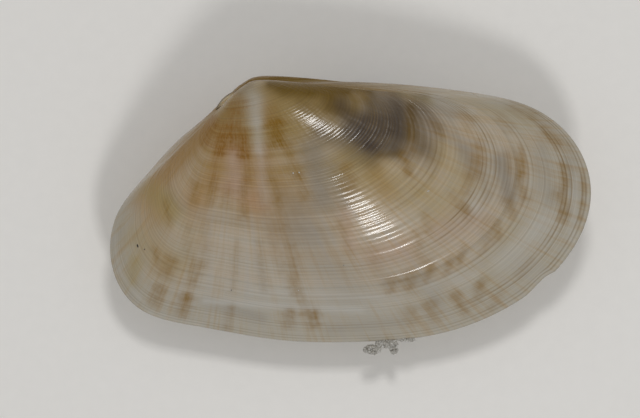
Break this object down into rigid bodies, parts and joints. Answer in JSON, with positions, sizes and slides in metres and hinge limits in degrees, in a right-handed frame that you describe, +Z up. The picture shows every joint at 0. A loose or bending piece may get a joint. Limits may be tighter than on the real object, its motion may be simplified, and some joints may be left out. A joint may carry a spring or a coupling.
{
  "type": "clam shell",
  "caption": "Closed wedge-shaped clam shell with fine concentric ridges and a glossy cream and tan surface, lying on one valve, for display or dressing a shore scene.",
  "frame": {"origin": "centre of the bounding box on the surface that the shell lies on", "axes": "+X along the shell to its long rounded end, +Y across it to the hinge side, +Z up out of the upper valve"},
  "size_m": [0.04, 0.0234, 0.0129],
  "materials": {
    "shell": "gloss",
    "ligament": "satin",
    "sand": "matte"
  },
  "bodies": {
    "root": {"upper_valve": "shell", "lower_valve": "shell", "ligament": "ligament", "sand_crumb": "sand"}
  },
  "joints": []
}
